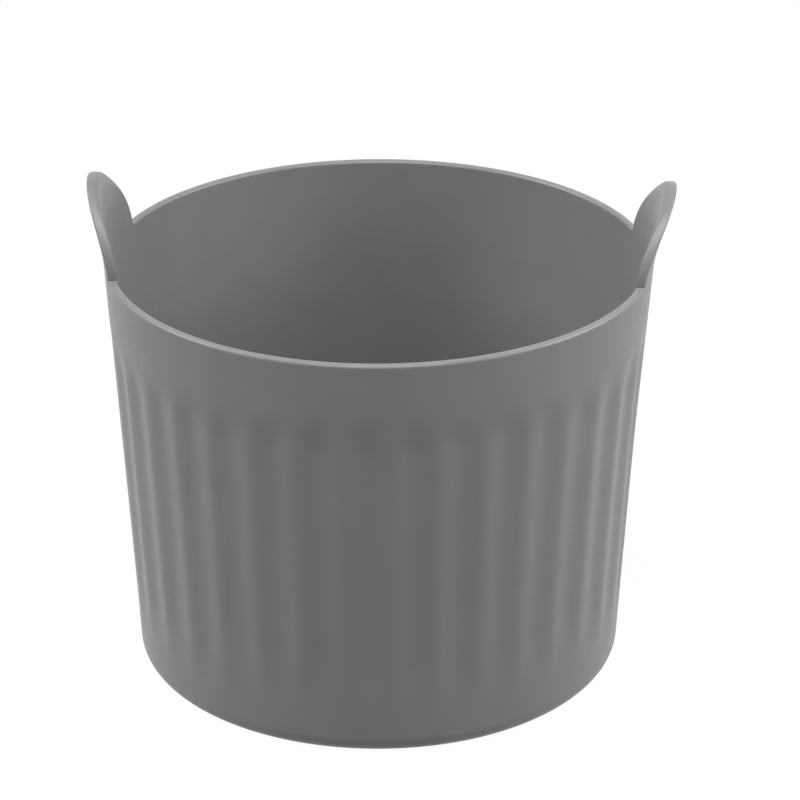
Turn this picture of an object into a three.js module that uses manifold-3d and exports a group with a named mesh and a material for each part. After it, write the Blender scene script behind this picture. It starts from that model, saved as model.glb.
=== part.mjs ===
// Silicone muffin cup: a tapered baking cup with a fluted wall and two flared ears on its rim.
// Millimetres, +Z up. It stands on Z = 0 about the Z axis, with its ears on +X and -X.

import * as THREE from "three";
import { mergeVertices } from "three/addons/utils/BufferGeometryUtils.js";
import Module from "manifold-3d";

// Cup
const RIM_DIAMETER = 90; // outside, at the top
const BASE_DIAMETER = 81.5; // outside, where the wall's slope would meet the table
const RIM_HEIGHT = 71.2;
const WALL = 1.4;
const FLOOR = 2;
const HEEL_RADIUS = 3.2; // outside rounding from the base to the wall
const INSIDE_CORNER_RADIUS = 3;
const FLOOR_SEAM_INSET = 1; // from the inside corner's rounding to the edge of the floor disc
const BAND_HEIGHT = 9.2; // smooth band under the rim
const RIM_EDGE_RADIUS = 0.45;

// Flutes: shallow hollows round the wall, with soft ridges between them
const FLUTES = 36;
const FLUTE_DEPTH = 0.53; // at its deepest, towards the band
const FLUTE_TAPER = 0.3; // share of that depth which is missing at the foot
const RIDGE_SOFTNESS = 0.9; // 0 is a knife edge
const FLUTE_CLEARANCE = 0.25; // plain wall between the inside corner's rounding and the flutes
const FOOT_RUN_OUT = 13.5; // height over which the flutes fade in above the heel
const HEAD_RUN_OUT = 7.2; // height over which they fade out below the band

// Ears: tongues that leave the rim in the wall's own thickness, flare outwards and thicken to the tip
const EAR_WIDTH = 25.2;
const EAR_HEIGHT = 13.3;
const EAR_SIDE_POWER = 1.9; // 2 is a half ellipse's side, and less leans in sooner
const EAR_TIP_POWER = 1.7; // 2 is a half ellipse's tip, and less is narrower
const EAR_FLARE = 1.4; // how far the tip's inner face stands outside the wall's slope
const EAR_THICKENING = 0.6; // how much thicker the tip is than the wall
const EAR_ROOT_HEIGHT = 4; // the strip that bends

const SILICONE_COLOUR = 0x6c6c6a;
const SILICONE_ROUGHNESS = 0.6;

// Facets
const FACETS_AROUND = 3 * FLUTES;
const FLUTED_FACETS_AROUND = 8 * FLUTES;
const CORNER_STEPS = 4;
const EDGE_STEPS = 3;
const RUN_OUT_STEPS = 5;
const EAR_STEPS = 8;

// The wall is a cone: its radius grows evenly with height, and its thickness is square to the slope.
const slope = (RIM_DIAMETER - BASE_DIAMETER) / 2 / RIM_HEIGHT;
const slopeLength = Math.hypot(1, slope);
const outerRadius = (z) => BASE_DIAMETER / 2 + slope * z;
const innerRadius = (z) => outerRadius(z) - WALL * slopeLength;
const bandFoot = RIM_HEIGHT - BAND_HEIGHT;

function arc(centreR, centreZ, radius, from, to, steps) {
  const points = [];
  for (let i = 0; i <= steps; i++) {
    const angle = from + ((to - from) * i) / steps;
    points.push(new THREE.Vector2(centreR + radius * Math.cos(angle), centreZ + radius * Math.sin(angle)));
  }
  return points;
}

// The rounding between a flat floor at height z and the cone above it, from the floor upwards.
function cornerArc(coneRadius, z, radius) {
  const centreZ = z + radius;
  const centreR = coneRadius(centreZ) - radius * slopeLength;
  return arc(centreR, centreZ, radius, -Math.PI / 2, -Math.atan(slope), CORNER_STEPS);
}

const heel = cornerArc(outerRadius, 0, HEEL_RADIUS);
const insideCorner = cornerArc(innerRadius, FLOOR, INSIDE_CORNER_RADIUS);
const floorRadius = Math.min(heel[0].x, insideCorner[0].x) - FLOOR_SEAM_INSET;
const fluteFoot = Math.max(heel.at(-1).y, insideCorner.at(-1).y) + FLUTE_CLEARANCE;

// Turns a profile of (radius, height) points about Z, starting at the front, -Y.
function revolve(profile, facets = FACETS_AROUND) {
  return new THREE.LatheGeometry(profile, facets).rotateX(Math.PI / 2);
}

function closed(profile) {
  return [...profile, profile[0].clone()];
}

// The flutes' depth at height z: it grows towards the band, and fades to nothing at both ends.
function fluteDepth(z) {
  const growth = 1 - (FLUTE_TAPER * (bandFoot - z)) / (bandFoot - fluteFoot);
  const fadeIn = THREE.MathUtils.smoothstep(z, fluteFoot, fluteFoot + FOOT_RUN_OUT);
  const fadeOut = 1 - THREE.MathUtils.smoothstep(z, bandFoot - HEAD_RUN_OUT, bandFoot);
  return FLUTE_DEPTH * growth * fadeIn * fadeOut;
}

// How far the wall is hollowed at an angle from the front: a row of scallops, deepest at the front.
function hollow(angle, z) {
  const softened = (height) => Math.hypot(height, RIDGE_SOFTNESS) - RIDGE_SOFTNESS;
  const scallop = softened(Math.cos((FLUTES * angle) / 2)) / softened(1);
  return fluteDepth(z) * scallop;
}

function evenSteps(from, to, steps) {
  return Array.from({ length: steps + 1 }, (_, i) => from + ((to - from) * i) / steps);
}

function floorGeometry() {
  return revolve([
    new THREE.Vector2(0, 0),
    new THREE.Vector2(floorRadius, 0),
    new THREE.Vector2(floorRadius, FLOOR),
    new THREE.Vector2(0, FLOOR),
  ]);
}

// The ring that rounds the floor into the wall, outside and inside.
function heelGeometry() {
  return revolve(
    closed([
      new THREE.Vector2(floorRadius, 0),
      ...heel,
      new THREE.Vector2(outerRadius(fluteFoot), fluteFoot),
      new THREE.Vector2(innerRadius(fluteFoot), fluteFoot),
      ...insideCorner.toReversed(),
      new THREE.Vector2(floorRadius, FLOOR),
    ]),
  );
}

function flutedWallGeometry() {
  const heights = [
    ...evenSteps(fluteFoot, fluteFoot + FOOT_RUN_OUT, RUN_OUT_STEPS),
    ...evenSteps(bandFoot - HEAD_RUN_OUT, bandFoot, RUN_OUT_STEPS),
  ];
  const profile = closed([
    ...heights.map((z) => new THREE.Vector2(outerRadius(z), z)),
    new THREE.Vector2(innerRadius(bandFoot), bandFoot),
    new THREE.Vector2(innerRadius(fluteFoot), fluteFoot),
  ]);
  const geometry = revolve(profile, FLUTED_FACETS_AROUND);
  const position = geometry.getAttribute("position");
  for (let i = 0; i < position.count; i++) {
    const row = i % profile.length;
    if (row >= heights.length) continue;
    const angle = Math.atan2(position.getX(i), -position.getY(i));
    const radius = outerRadius(heights[row]) - hollow(angle, heights[row]);
    position.setX(i, radius * Math.sin(angle));
    position.setY(i, -radius * Math.cos(angle));
  }
  return geometry;
}

function rimBandGeometry() {
  const edgeZ = RIM_HEIGHT - RIM_EDGE_RADIUS;
  const outerEdgeR = outerRadius(edgeZ) - RIM_EDGE_RADIUS;
  const innerEdgeR = innerRadius(edgeZ) + RIM_EDGE_RADIUS;
  return revolve(
    closed([
      new THREE.Vector2(outerRadius(bandFoot), bandFoot),
      ...arc(outerEdgeR, edgeZ, RIM_EDGE_RADIUS, 0, Math.PI / 2, EDGE_STEPS),
      ...arc(innerEdgeR, edgeZ, RIM_EDGE_RADIUS, Math.PI / 2, Math.PI, EDGE_STEPS),
      new THREE.Vector2(innerRadius(bandFoot), bandFoot),
    ]),
  );
}

// Solids for joining and cutting
const wasm = await Module();
wasm.setup();

function solidOf(geometry) {
  const bare = geometry.clone();
  bare.deleteAttribute("normal");
  bare.deleteAttribute("uv");
  const merged = mergeVertices(bare);
  return new wasm.Manifold(
    new wasm.Mesh({
      numProp: 3,
      vertProperties: merged.getAttribute("position").array,
      triVerts: new Uint32Array(merged.index.array),
    }),
  );
}

function geometryOf(solid) {
  const mesh = solid.getMesh();
  const geometry = new THREE.BufferGeometry();
  geometry.setAttribute("position", new THREE.BufferAttribute(mesh.vertProperties, 3));
  geometry.setIndex(new THREE.BufferAttribute(mesh.triVerts, 1));
  geometry.computeVertexNormals();
  return geometry;
}

// The ears' faces at a height above the rim: each leaves the wall's slope in an S from rim to tip.
const earGrowth = (height) => THREE.MathUtils.smoothstep(height, 0, EAR_HEIGHT);
const earInnerRadius = (height) => innerRadius(RIM_HEIGHT + height) + EAR_FLARE * earGrowth(height);
const earThickening = (height) => EAR_THICKENING * earGrowth(height);
const earOuterRadius = (height) => earInnerRadius(height) + WALL * slopeLength + earThickening(height);

// A full ring of the flared wall above the rim, of which each ear is a tongue.
function flaredRing() {
  const heights = evenSteps(0, EAR_HEIGHT, EAR_STEPS);
  const at = (radius) => (h) => new THREE.Vector2(radius(h), RIM_HEIGHT + h);
  return revolve(closed([...heights.map(at(earOuterRadius)), ...heights.map(at(earInnerRadius)).reverse()]));
}

// Half the ear's width at a height above the rim: much like a half ellipse, with a narrower tip.
function earHalfWidth(height) {
  const rise = height / EAR_HEIGHT;
  return (EAR_WIDTH / 2) * (1 - rise ** EAR_SIDE_POWER) ** (1 / EAR_TIP_POWER);
}

// The stretch of the ear's tongue between two heights above the rim, run out along +X through the wall.
function tongue(from, to) {
  const angles = evenSteps(Math.asin(from / EAR_HEIGHT), Math.asin(to / EAR_HEIGHT), EAR_STEPS);
  const between = angles.slice(1, -1).map((angle) => EAR_HEIGHT * Math.sin(angle));
  const side = [from, ...between, to].map((h) => new THREE.Vector2(earHalfWidth(h), RIM_HEIGHT + h));
  const mirrored = side.filter((p) => p.x > 0).map((p) => new THREE.Vector2(-p.x, p.y));
  const depth = earOuterRadius(EAR_HEIGHT) + WALL;
  // The shape's x and y become Y and Z, and its depth becomes +X.
  const outline = new THREE.Shape([...side, ...mirrored.reverse()]);
  const geometry = new THREE.ExtrudeGeometry(outline, { depth, bevelEnabled: false });
  return geometry.rotateX(Math.PI / 2).rotateZ(Math.PI / 2);
}

const ring = solidOf(flaredRing());
const earRoot = geometryOf(ring.intersect(solidOf(tongue(0, EAR_ROOT_HEIGHT))));
const earTab = geometryOf(ring.intersect(solidOf(tongue(EAR_ROOT_HEIGHT, EAR_HEIGHT))));

function part(name, geometry) {
  const material = new THREE.MeshStandardMaterial({
    color: SILICONE_COLOUR,
    roughness: SILICONE_ROUGHNESS,
    metalness: 0,
  });
  const mesh = new THREE.Mesh(geometry, material);
  mesh.name = name;
  return mesh;
}

function ear(side, turn) {
  const group = new THREE.Group();
  group.add(part(`${side}_ear_root`, earRoot), part(`${side}_ear_tab`, earTab));
  group.rotation.z = turn;
  return group;
}

const cup = new THREE.Group();
cup.add(part("cup_floor", floorGeometry()));
cup.add(part("cup_heel", heelGeometry()));
cup.add(part("fluted_wall", flutedWallGeometry()));
cup.add(part("rim_band", rimBandGeometry()));
cup.add(ear("right", 0));
cup.add(ear("left", Math.PI));

export default cup;
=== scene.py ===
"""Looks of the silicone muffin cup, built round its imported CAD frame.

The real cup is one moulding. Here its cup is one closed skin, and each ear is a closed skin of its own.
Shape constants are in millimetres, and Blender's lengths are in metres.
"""

import math

import bmesh
import bpy
import numpy as np
from mathutils import Matrix, Vector


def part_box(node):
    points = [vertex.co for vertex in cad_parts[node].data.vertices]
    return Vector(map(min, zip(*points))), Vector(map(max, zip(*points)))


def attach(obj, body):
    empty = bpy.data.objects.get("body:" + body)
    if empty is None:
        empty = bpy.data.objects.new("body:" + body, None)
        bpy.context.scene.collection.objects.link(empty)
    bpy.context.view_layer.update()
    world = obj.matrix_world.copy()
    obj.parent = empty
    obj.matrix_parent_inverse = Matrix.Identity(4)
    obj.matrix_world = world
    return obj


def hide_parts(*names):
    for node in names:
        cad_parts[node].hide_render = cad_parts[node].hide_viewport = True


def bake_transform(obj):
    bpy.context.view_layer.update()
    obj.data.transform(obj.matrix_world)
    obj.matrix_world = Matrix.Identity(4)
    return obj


MM = 0.001

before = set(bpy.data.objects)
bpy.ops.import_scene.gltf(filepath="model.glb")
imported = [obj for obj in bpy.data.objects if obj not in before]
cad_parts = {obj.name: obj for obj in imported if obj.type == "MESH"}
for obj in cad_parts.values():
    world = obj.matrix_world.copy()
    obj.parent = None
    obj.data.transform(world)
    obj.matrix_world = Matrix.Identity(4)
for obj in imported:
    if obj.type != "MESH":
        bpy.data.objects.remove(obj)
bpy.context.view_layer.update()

# Heights and widths that the CAD nodes give
RIM_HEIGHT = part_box("rim_band")[1].z / MM
BAND_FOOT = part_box("rim_band")[0].z / MM
FLUTE_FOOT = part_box("fluted_wall")[0].z / MM
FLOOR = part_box("cup_floor")[1].z / MM
EAR_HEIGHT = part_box("right_ear_tab")[1].z / MM - RIM_HEIGHT
EAR_HALF_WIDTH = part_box("right_ear_root")[1].y / MM

# Cup
RIM_RADIUS = 45.0
BASE_RADIUS = 40.75
WALL = 1.4
HEEL_RADIUS = 3.2
INSIDE_CORNER_RADIUS = 3.0
RIM_EDGE_RADIUS = 0.55
SHARP_EDGE_RADIUS = 0.01
RIM_EDGE_RUN = 0.8  # over which the rim's rounding sharpens towards an ear
SUPPORT = 0.08  # distance of the loops that hold an edge's shape

# Flutes
FLUTES = 36
FLUTE_DEPTH = 0.53
FLUTE_TAPER = 0.3  # share of the depth that the foot lacks
RIDGE_SOFTNESS = 0.9
FOOT_RUN_OUT = 13.5
HEAD_RUN_OUT = 7.2

# Ears
LEFT_EAR_HEIGHT = EAR_HEIGHT + 0.15
RIGHT_EAR_HEIGHT = EAR_HEIGHT - 0.35
LEFT_FLARE = 1.15  # of the inner face, at the tip
RIGHT_FLARE = 1.8
FLARE_RUN = 1.25  # height of the flare's S-curve over the ear's, so that the tip still leans out
EAR_THICKENING = 0.6  # of the tip over the wall
EAR_SIDE_POWER = 1.9
EAR_TIP_POWER = 1.75
TIP_SOFTNESS = 0.35  # share of the half width over which the tip is round
EAR_CORNER = 0.25  # rounding of the edge's corners near the root
INNER_ROUNDING = (2.3, 0.9)  # at the tip, along the inner face and through the ear
OUTER_ROUNDING = (0.35, 0.3)
ROUNDING_GROWS = (0.4, 1.0)  # shares of the height between which the corners soften

# The soft cup is a little out of round: its right side is tucked in, and leans outwards below the ear
TUCK = 0.15
LEAN = 0.53  # at the rim
LEAN_FOOT = 43.0
LEAN_SOFTNESS = 0.15

# Mesh resolution
COLUMNS_PER_FLUTE = 16
RIM_EDGE_COLUMNS = np.linspace(-0.25, 1.25, 13)  # extra columns beside an ear, in shares of RIM_EDGE_RUN
SMALLEST_COLUMN = 2e-4  # radians
ROUNDING_STEPS = 8
HEEL_STEPS = 10
INSIDE_CORNER_STEPS = 12
DISC_SHARES = (0.25, 0.5, 0.75, 0.95, 0.99)  # of the radius of the underside and the floor
HEEL_TOP_ROWS = 5
FLUTE_FOOT_ROWS = 16
FLUTE_ROWS = 13
FLUTE_HEAD_ROWS = 14
BAND_SHARES = (0.25, 0.5, 0.75, 1)
INSIDE_ROWS = 12
INSIDE_TOP = 1.2  # distance of the first row inside from the rim
INSIDE_FOOT = 0.4  # distance of the last row inside from the corner's rounding
EAR_COLUMNS = 96
ROOT_TURNS = (0.004, 0.012)  # radians from the root's end to the extra columns near it
FACE_SHARES = (0.004, *np.linspace(0.06, 0.9, 14), 0.95, 0.98)  # from the root's middle to the edge

SLOPE = (RIM_RADIUS - BASE_RADIUS) / RIM_HEIGHT
SLOPE_LENGTH = math.hypot(1, SLOPE)
THICKNESS = WALL * SLOPE_LENGTH  # of the wall, measured level


def smoothstep(start, end, x):
    t = np.clip((x - start) / (end - start), 0, 1)
    return t * t * (3 - 2 * t)


def outer_radius(z):
    return BASE_RADIUS + SLOPE * z


def inner_radius(z):
    return outer_radius(z) - THICKNESS


def hollow(angle, z):
    """How far the outside is hollowed by the flutes, which run out above and below."""
    wave = np.hypot(np.cos(FLUTES * angle / 2), RIDGE_SOFTNESS) - RIDGE_SOFTNESS
    scallop = wave / (math.hypot(1, RIDGE_SOFTNESS) - RIDGE_SOFTNESS)
    rise = smoothstep(FLUTE_FOOT, FLUTE_FOOT + FOOT_RUN_OUT, z)
    fall = smoothstep(BAND_FOOT, BAND_FOOT - HEAD_RUN_OUT, z)
    taper = 1 - FLUTE_TAPER * (BAND_FOOT - z) / (BAND_FOOT - FLUTE_FOOT)
    return FLUTE_DEPTH * taper * rise * fall * scallop


def leaned(points):
    """The points with the tuck and lean of the right side, which fade out towards the front and the back."""
    x, z = points[:, 0], points[:, 2]
    above = (z - LEAN_FOOT) / (RIM_HEIGHT - LEAN_FOOT)
    rise = (above + np.hypot(above, LEAN_SOFTNESS)) / 2
    share = smoothstep(0, 1, x / RIM_RADIUS)
    return points + np.column_stack([(LEAN * rise - TUCK) * share, 0 * x, 0 * x])


def closed_mesh(name, points, faces, flat_faces=()):
    """A smooth mesh from points in millimetres, with its faces turned outwards."""
    mesh = bpy.data.meshes.new(name)
    mesh.from_pydata((leaned(np.asarray(points, float)) * MM).tolist(), [], [*faces, *flat_faces])
    smooth = np.ones(len(mesh.polygons), bool)
    smooth[len(faces) :] = False
    mesh.polygons.foreach_set("use_smooth", smooth)
    skin = bmesh.new()
    skin.from_mesh(mesh)
    bmesh.ops.recalc_face_normals(skin, faces=skin.faces)
    skin.to_mesh(mesh)
    skin.free()
    piece = bpy.data.objects.new(name, mesh)
    bpy.context.scene.collection.objects.link(piece)
    return piece


def corner_rows(cone_radius, z, radius, steps):
    """The rounding between a flat floor at height z and the cone above it, from the floor upwards."""
    centre_z = z + radius
    centre_r = cone_radius(centre_z) - radius * SLOPE_LENGTH
    turns = np.linspace(-math.pi / 2, -math.atan(SLOPE), steps + 1)
    return [(centre_r + radius * math.cos(t), centre_z + radius * math.sin(t)) for t in turns]


def cup_columns():
    """Angles from the front, even round the cup, with more where the rim's rounding sharpens."""
    even = np.arange(FLUTES * COLUMNS_PER_FLUTE) * (2 * math.pi / (FLUTES * COLUMNS_PER_FLUTE))
    across = EAR_HALF_WIDTH + RIM_EDGE_RUN * RIM_EDGE_COLUMNS
    near_ear = np.arcsin(across / RIM_RADIUS)
    ears = [math.pi / 2, 3 * math.pi / 2]
    extra = [middle + side * near_ear for middle in ears for side in (-1, 1)]
    angles = np.sort(np.concatenate([even, *extra]))
    far_apart = np.append(np.diff(angles) > SMALLEST_COLUMN, True)
    return angles[far_apart]


def rim_edge(angle, radius):
    """The rim edge's rounding, which is sharp where an ear stands on it."""
    beside = np.abs(radius * np.cos(angle))
    share = smoothstep(EAR_HALF_WIDTH, EAR_HALF_WIDTH + RIM_EDGE_RUN, beside)
    return SHARP_EDGE_RADIUS + (RIM_EDGE_RADIUS - SHARP_EDGE_RADIUS) * share


def outside_rows(angle):
    """Rows of (radius, height) from the middle of the underside up to the band."""
    heel = corner_rows(outer_radius, 0, HEEL_RADIUS, HEEL_STEPS)
    below = np.linspace(heel[-1][1], FLUTE_FOOT, HEEL_TOP_ROWS)[1:-1]
    feet = np.linspace(FLUTE_FOOT, FLUTE_FOOT + FOOT_RUN_OUT, FLUTE_FOOT_ROWS)
    middle = np.linspace(FLUTE_FOOT + FOOT_RUN_OUT, BAND_FOOT - HEAD_RUN_OUT, FLUTE_ROWS)[1:-1]
    heads = np.linspace(BAND_FOOT - HEAD_RUN_OUT, BAND_FOOT, FLUTE_HEAD_ROWS)
    wall = [(outer_radius(z) - hollow(angle, z), z) for z in (*below, *feet, *middle, *heads)]
    return [(heel[0][0] * share, 0) for share in DISC_SHARES] + heel + wall


def rim_rows(angle):
    """Rows from the band over the rim, whose edges are rounded."""
    turns = np.linspace(0, math.pi / 2, ROUNDING_STEPS + 1)
    outside = rim_edge(angle, RIM_RADIUS)
    inside = rim_edge(angle, RIM_RADIUS - THICKNESS)
    outside_z = RIM_HEIGHT - outside
    inside_z = RIM_HEIGHT - inside
    outside_r = outer_radius(outside_z) - outside
    inside_r = inner_radius(inside_z) + inside
    rows = []
    for share in BAND_SHARES:
        z = BAND_FOOT + (outside_z - SUPPORT - BAND_FOOT) * share
        rows.append((outer_radius(z), z))
    rows += [(outside_r + outside * math.cos(t), outside_z + outside * math.sin(t)) for t in turns]
    rows += [(outside_r - SUPPORT, RIM_HEIGHT), (inside_r + SUPPORT, RIM_HEIGHT)]
    rows += [(inside_r - inside * math.sin(t), inside_z + inside * math.cos(t)) for t in turns]
    rows.append((inner_radius(inside_z - SUPPORT), inside_z - SUPPORT))
    return rows


def inside_rows():
    """Rows from below the rim down to the middle of the floor inside."""
    corner = corner_rows(inner_radius, FLOOR, INSIDE_CORNER_RADIUS, INSIDE_CORNER_STEPS)
    heights = np.linspace(RIM_HEIGHT - INSIDE_TOP, corner[-1][1] + INSIDE_FOOT, INSIDE_ROWS)
    wall = [(inner_radius(z), z) for z in heights]
    return wall + corner[::-1] + [(corner[0][0] * share, FLOOR) for share in DISC_SHARES[::-1]]


def cup_body():
    angle = cup_columns()
    rows = outside_rows(angle) + rim_rows(angle) + inside_rows()
    count = len(angle)
    points = [(0, 0, 0)]
    for radius, z in rows:
        radius = np.broadcast_to(radius, count)
        height = np.broadcast_to(z, count)
        points += np.column_stack([radius * np.sin(angle), -radius * np.cos(angle), height]).tolist()
    points.append((0, 0, FLOOR))
    following = [*range(1, count), 0]
    first = [1 + row * count for row in range(len(rows))]
    faces = [(0, first[0] + j, first[0] + i) for i, j in enumerate(following)]
    for a, b in zip(first, first[1:]):
        faces += [(a + i, a + j, b + j, b + i) for i, j in enumerate(following)]
    faces += [(len(points) - 1, first[-1] + i, first[-1] + j) for i, j in enumerate(following)]
    return closed_mesh("cup_body", points, faces)


def ear(name, side, height, flare):
    """One ear: a tongue of the wall that flares outwards, whose crisp edge softens towards the tip."""
    turn = np.linspace(0, math.pi, EAR_COLUMNS + 1)
    turn = np.sort(np.concatenate([turn, ROOT_TURNS, [math.pi - t for t in ROOT_TURNS]]))
    bulge = (1 + TIP_SOFTNESS**2) / (np.cos(turn) ** 2 + TIP_SOFTNESS**2)
    across = -EAR_HALF_WIDTH * np.cos(turn) * bulge ** (0.5 - 1 / EAR_TIP_POWER)
    up = height * np.abs(np.sin(turn)) ** (2 / EAR_SIDE_POWER)
    along = np.column_stack([np.gradient(across, turn), np.gradient(up, turn)])
    along[0], along[-1] = (0, 1), (0, -1)
    along /= np.linalg.norm(along, axis=1)[:, None]
    grown = smoothstep(*ROUNDING_GROWS, up / height)

    def place(s, h, depth, face):
        """Points at a depth under the inner face, -1, or the outer face, 1."""
        z = RIM_HEIGHT + h
        growth = smoothstep(0, FLARE_RUN * height, h) / smoothstep(0, FLARE_RUN, 1)
        half = (THICKNESS + EAR_THICKENING * growth) / 2
        radius = inner_radius(z) + flare * growth + half + face * (half - depth)
        return np.column_stack([side * np.sqrt(radius**2 - s**2), s, z])

    def loop(inset, share, depth, face):
        s = (across + along[:, 1] * inset) * share
        h = (up - along[:, 0] * inset) * share
        return place(s, h, depth, face)

    def face_to_edge(rounding, face):
        """Loops from the middle of a face out to the edge and round its corner."""
        inset, depth = (EAR_CORNER + (at_tip - EAR_CORNER) * grown for at_tip in rounding)
        arc = np.linspace(0, math.pi / 2, ROUNDING_STEPS + 1)
        loops = [loop(inset, share, 0, face) for share in FACE_SHARES]
        return loops + [loop(inset * (1 - math.sin(t)), 1, depth * (1 - math.cos(t)), face) for t in arc]

    loops = face_to_edge(INNER_ROUNDING, -1) + face_to_edge(OUTER_ROUNDING, 1)[::-1]
    count = len(turn)
    poles = [place(np.zeros(1), np.zeros(1), 0, face) for face in (-1, 1)]
    points = np.concatenate([poles[0], *loops, poles[1]])
    first = [1 + row * count for row in range(len(loops))]
    last = len(points) - 1
    columns = range(count - 1)
    faces = [(0, first[0] + i, first[0] + i + 1) for i in columns]
    for a, b in zip(first, first[1:]):
        faces += [(a + i, b + i, b + i + 1, a + i + 1) for i in columns]
    faces += [(last, first[-1] + i + 1, first[-1] + i) for i in columns]
    root = []
    for end in (0, count - 1):
        ladder = [(0, last)] + [(a + end, b + end) for a, b in zip(first, first[::-1])][: len(first) // 2]
        root += [(a, c, d, b) for (a, b), (c, d) in zip(ladder, ladder[1:])]
    return closed_mesh(name, points, faces, root)


# Silicone
SPECULAR = 0.5
SHEEN = 0.08
SHEEN_ROUGHNESS = 0.5
DARKER_GREY = (0.156, 0.156, 0.155, 1)
LIGHTER_GREY = (0.166, 0.166, 0.165, 1)
NOISE_SPAN = (0.3, 0.7)  # the part of a noise's range that is used
MOTTLE_SCALE = 140
ROUGHNESS = (0.38, 0.46)
ROUGHNESS_SCALE = 900
SKIN_SCALE = 3500
SKIN_STRENGTH = 0.12
SKIN_DEPTH = 0.1 * MM
DUST_COLOUR = (0.6, 0.6, 0.58, 1)
DUST_STRENGTH = 0.35
DUST_SCALE = 260
DUST_FREE = 0.93  # share of the cells without a speck
DUST_SIZE = 0.05  # radius of the largest speck, over a cell's width


def silicone():
    """Matt grey moulded silicone: faint mottling, a fine skin, and a little light dust."""
    material = bpy.data.materials.new("silicone")
    material.use_nodes = True
    nodes, links = material.node_tree.nodes, material.node_tree.links
    shader = nodes["Principled BSDF"]
    shader.inputs["Specular IOR Level"].default_value = SPECULAR
    shader.inputs["Sheen Weight"].default_value = SHEEN
    shader.inputs["Sheen Roughness"].default_value = SHEEN_ROUGHNESS

    place = nodes.new("ShaderNodeTexCoord")

    def noise(scale, detail):
        node = nodes.new("ShaderNodeTexNoise")
        node.inputs["Scale"].default_value = scale
        node.inputs["Detail"].default_value = detail
        links.new(place.outputs["Object"], node.inputs["Vector"])
        return node.outputs["Fac"]

    def remap(value, low, high, to_low, to_high):
        node = nodes.new("ShaderNodeMapRange")
        for key, number in zip(("From Min", "From Max", "To Min", "To Max"), (low, high, to_low, to_high)):
            node.inputs[key].default_value = number
        links.new(value, node.inputs["Value"])
        return node.outputs["Result"]

    mottle = nodes.new("ShaderNodeValToRGB")
    tones = (DARKER_GREY, LIGHTER_GREY)
    for element, position, tone in zip(mottle.color_ramp.elements, NOISE_SPAN, tones):
        element.position = position
        element.color = tone
    links.new(noise(MOTTLE_SCALE, 4), mottle.inputs["Fac"])

    specks = nodes.new("ShaderNodeTexVoronoi")
    specks.inputs["Scale"].default_value = DUST_SCALE
    links.new(place.outputs["Object"], specks.inputs["Vector"])
    chosen = nodes.new("ShaderNodeSeparateColor")
    links.new(specks.outputs["Color"], chosen.inputs["Color"])
    size = remap(chosen.outputs["Red"], DUST_FREE, 1.0, 0.0, DUST_SIZE)
    dusty = nodes.new("ShaderNodeMath")
    dusty.operation = "LESS_THAN"
    links.new(specks.outputs["Distance"], dusty.inputs[0])
    links.new(size, dusty.inputs[1])
    strength = nodes.new("ShaderNodeMath")
    strength.operation = "MULTIPLY"
    strength.inputs[1].default_value = DUST_STRENGTH
    links.new(dusty.outputs["Value"], strength.inputs[0])

    colour = nodes.new("ShaderNodeMix")
    colour.data_type = "RGBA"
    links.new(strength.outputs["Value"], colour.inputs["Factor"])
    links.new(mottle.outputs["Color"], colour.inputs[6])
    colour.inputs[7].default_value = DUST_COLOUR
    links.new(colour.outputs[2], shader.inputs["Base Color"])

    links.new(remap(noise(ROUGHNESS_SCALE, 2), *NOISE_SPAN, *ROUGHNESS), shader.inputs["Roughness"])

    bump = nodes.new("ShaderNodeBump")
    bump.inputs["Strength"].default_value = SKIN_STRENGTH
    bump.inputs["Distance"].default_value = SKIN_DEPTH
    links.new(noise(SKIN_SCALE, 3), bump.inputs["Height"])
    links.new(bump.outputs["Normal"], shader.inputs["Normal"])
    return material


def dress(piece, material, *nodes):
    piece.data.materials.append(material)
    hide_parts(*nodes)


def bend_with(piece):
    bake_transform(piece)


grey = silicone()
body = cup_body()
dress(body, grey, "cup_floor", "cup_heel", "fluted_wall", "rim_band")
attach(body, "cup")
for name, side, height, flare in (
    ("left_ear", -1, LEFT_EAR_HEIGHT, LEFT_FLARE),
    ("right_ear", 1, RIGHT_EAR_HEIGHT, RIGHT_FLARE),
):
    piece = ear(name, side, height, flare)
    dress(piece, grey, name + "_root", name + "_tab")
    bend_with(piece)


# Studio
WHITE = (1, 1, 1, 1)
AMBIENT = 0.02
FLOOR_HALF = 3.0
FLOOR_GLOW = 0.97  # share of the floor's own white in what the camera sees
FLOOR_COLOUR = (0.95, 0.95, 0.95, 1)  # as the camera sees it
FLOOR_BOUNCE = (0.2, 0.2, 0.2, 1)  # as it lights the cup
LAMPS_AIM = Vector((0, 0, 0.04))
SOFTBOXES = [
    # name, azimuth and elevation from the cup in degrees, distance and size in metres, watts
    ("left_softbox", -90, 40, 1.0, (0.5, 0.5), 8.1),
    ("right_softbox", 88, 33, 0.42, (0.25, 0.25), 1.55),
    ("overhead_softbox", 0, 64, 1.0, (0.5, 0.5), 7.6),
    ("front_fill", 0, 35, 0.42, (0.25, 0.25), 0.28),
]


def away(azimuth, elevation):
    """Unit vector from the cup towards an azimuth, of which 0 is the front, and an elevation in degrees."""
    a, e = math.radians(azimuth), math.radians(elevation)
    return Vector((math.sin(a) * math.cos(e), -math.cos(a) * math.cos(e), math.sin(e)))


def softbox(name, azimuth, elevation, distance, size, watts):
    lamp = bpy.data.lights.new(name, "AREA")
    lamp.shape = "RECTANGLE"
    lamp.size, lamp.size_y = size
    lamp.energy = watts
    stand = bpy.data.objects.new(name, lamp)
    direction = away(azimuth, elevation)
    stand.location = LAMPS_AIM + direction * distance
    stand.rotation_mode = "QUATERNION"
    stand.rotation_quaternion = (-direction).to_track_quat("-Z", "Y")
    bpy.context.scene.collection.objects.link(stand)


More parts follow.
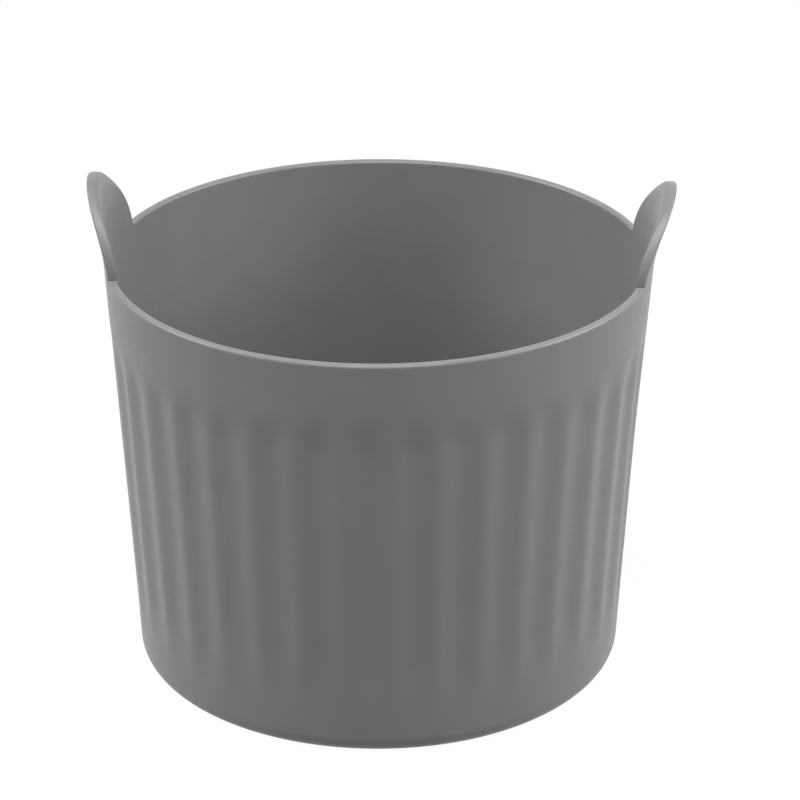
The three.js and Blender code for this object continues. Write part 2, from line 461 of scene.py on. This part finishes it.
def seen_directly(tree):
    """A socket that is 1 for what the camera sees, also in a reflection or through glass, and else 0."""
    rays = tree.nodes.new("ShaderNodeLightPath")
    value = rays.outputs["Is Camera Ray"]
    for kind in ("Is Glossy Ray", "Is Transmission Ray"):
        either = tree.nodes.new("ShaderNodeMath")
        either.operation = "MAXIMUM"
        tree.links.new(value, either.inputs[0])
        tree.links.new(rays.outputs[kind], either.inputs[1])
        value = either.outputs["Value"]
    return value


def white_world():
    world = bpy.data.worlds.new("studio")
    bpy.context.scene.world = world
    world.use_nodes = True
    tree = world.node_tree
    ambient = tree.nodes["Background"]
    ambient.inputs["Color"].default_value = WHITE
    ambient.inputs["Strength"].default_value = AMBIENT
    backdrop = tree.nodes.new("ShaderNodeBackground")
    backdrop.inputs["Color"].default_value = WHITE
    backdrop.inputs["Strength"].default_value = 1
    mix = tree.nodes.new("ShaderNodeMixShader")
    tree.links.new(seen_directly(tree), mix.inputs["Fac"])
    tree.links.new(ambient.outputs["Background"], mix.inputs[1])
    tree.links.new(backdrop.outputs["Background"], mix.inputs[2])
    tree.links.new(mix.outputs["Shader"], tree.nodes["World Output"].inputs["Surface"])


def white_floor():
    mesh = bpy.data.meshes.new("floor")
    corners = [(x * FLOOR_HALF, y * FLOOR_HALF, 0) for x, y in ((-1, -1), (1, -1), (1, 1), (-1, 1))]
    mesh.from_pydata(corners, [], [(0, 1, 2, 3)])
    floor = bpy.data.objects.new("floor", mesh)
    bpy.context.scene.collection.objects.link(floor)
    material = bpy.data.materials.new("floor_white")
    material.use_nodes = True
    tree = material.node_tree
    tree.nodes.remove(tree.nodes["Principled BSDF"])
    seen = seen_directly(tree)
    colour = tree.nodes.new("ShaderNodeMix")
    colour.data_type = "RGBA"
    tree.links.new(seen, colour.inputs["Factor"])
    colour.inputs[6].default_value = FLOOR_BOUNCE
    colour.inputs[7].default_value = FLOOR_COLOUR
    matt = tree.nodes.new("ShaderNodeBsdfDiffuse")
    tree.links.new(colour.outputs[2], matt.inputs["Color"])
    glow = tree.nodes.new("ShaderNodeEmission")
    glow.inputs["Color"].default_value = WHITE
    glow.inputs["Strength"].default_value = 1
    share = tree.nodes.new("ShaderNodeMath")
    share.operation = "MULTIPLY"
    share.inputs[1].default_value = FLOOR_GLOW
    tree.links.new(seen, share.inputs[0])
    mix = tree.nodes.new("ShaderNodeMixShader")
    tree.links.new(share.outputs["Value"], mix.inputs["Fac"])
    tree.links.new(matt.outputs["BSDF"], mix.inputs[1])
    tree.links.new(glow.outputs["Emission"], mix.inputs[2])
    tree.links.new(mix.outputs["Shader"], tree.nodes["Material Output"].inputs["Surface"])
    mesh.materials.append(material)


# Camera: the photograph's lens, place and turn
LENS = 159.165
SENSOR = 36.0
PIXELS = 800
AIM = Vector((0, 0, 0.034))
AIM_PIXEL = (378.7, 458.7)  # where the aim point lands
CAMERA_AZIMUTH = 2.5
CAMERA_ELEVATION = 25.56
CAMERA_DISTANCE = 0.598
CAMERA_ROLL = -0.239


def camera():
    data = bpy.data.cameras.new("camera")
    data.lens = LENS
    data.sensor_width = SENSOR
    stand = bpy.data.objects.new("camera", data)
    back = away(CAMERA_AZIMUTH, CAMERA_ELEVATION)
    right = Vector((math.cos(math.radians(CAMERA_AZIMUTH)), math.sin(math.radians(CAMERA_AZIMUTH)), 0))
    up = back.cross(right)
    roll = Matrix.Rotation(math.radians(CAMERA_ROLL), 3, back)
    right, up = roll @ right, roll @ up
    per_pixel = SENSOR / LENS / PIXELS
    ahead = -back
    ahead += right * (PIXELS / 2 - AIM_PIXEL[0]) * per_pixel
    ahead += up * (AIM_PIXEL[1] - PIXELS / 2) * per_pixel
    ahead.normalize()
    right = (right - ahead * right.dot(ahead)).normalized()
    up = right.cross(ahead)
    stand.matrix_world = Matrix((right, up, -ahead)).transposed().to_4x4()
    stand.location = AIM + back * CAMERA_DISTANCE
    bpy.context.scene.collection.objects.link(stand)
    bpy.context.scene.camera = stand


for box in SOFTBOXES:
    softbox(*box)
white_world()
white_floor()
camera()
bpy.context.scene.view_settings.view_transform = "Standard"
